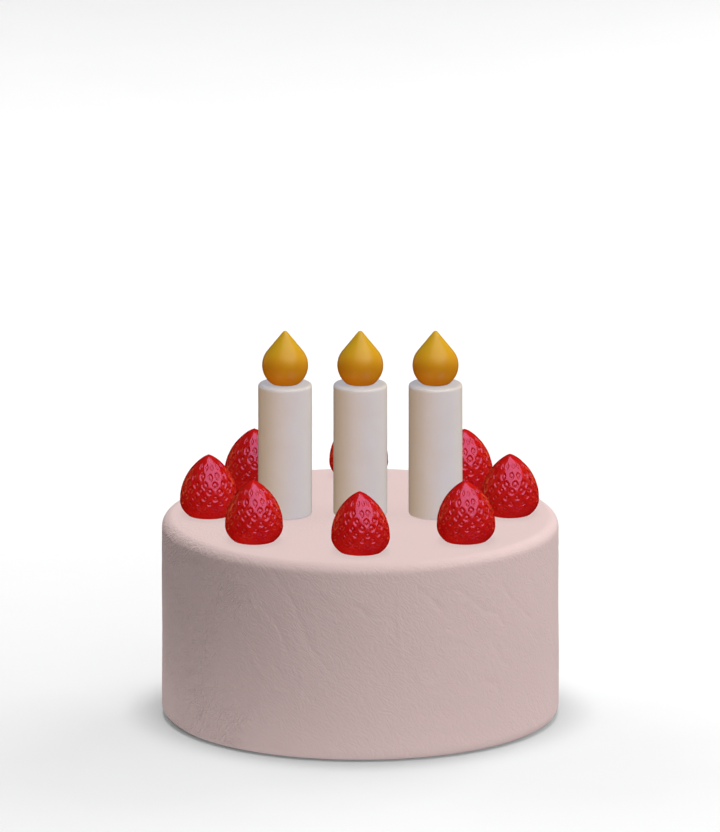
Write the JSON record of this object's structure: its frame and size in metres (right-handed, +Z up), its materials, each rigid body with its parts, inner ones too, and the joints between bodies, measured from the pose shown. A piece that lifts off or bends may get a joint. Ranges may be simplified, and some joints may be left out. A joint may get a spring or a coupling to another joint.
{
  "type": "celebration cake",
  "caption": "Round iced celebration cake, uncut, with whole strawberries in a ring and thick candles in a row, each with a drop-shaped flame.",
  "frame": {"origin": "middle of the cake's flat base", "axes": "+Z up, -Y towards the front, +X to the right along the row of candles"},
  "size_m": [0.2002, 0.2001, 0.1981],
  "materials": {
    "pink_icing": "matte, hand-spread",
    "strawberry_red": "glossy, dimpled with seeds",
    "white_wax": "satin",
    "golden_flame": "satin"
  },
  "bodies": {
    "root": {"cake": "pink_icing", "strawberry_front": "strawberry_red", "strawberry_front_right": "strawberry_red", "strawberry_right": "strawberry_red", "strawberry_back_right": "strawberry_red", "strawberry_back": "strawberry_red", "strawberry_back_left": "strawberry_red", "strawberry_left": "strawberry_red", "strawberry_front_left": "strawberry_red", "candle_left": "white_wax", "candle_middle": "white_wax", "candle_right": "white_wax", "flame_left": "golden_flame", "flame_middle": "golden_flame", "flame_right": "golden_flame"}
  },
  "joints": []
}
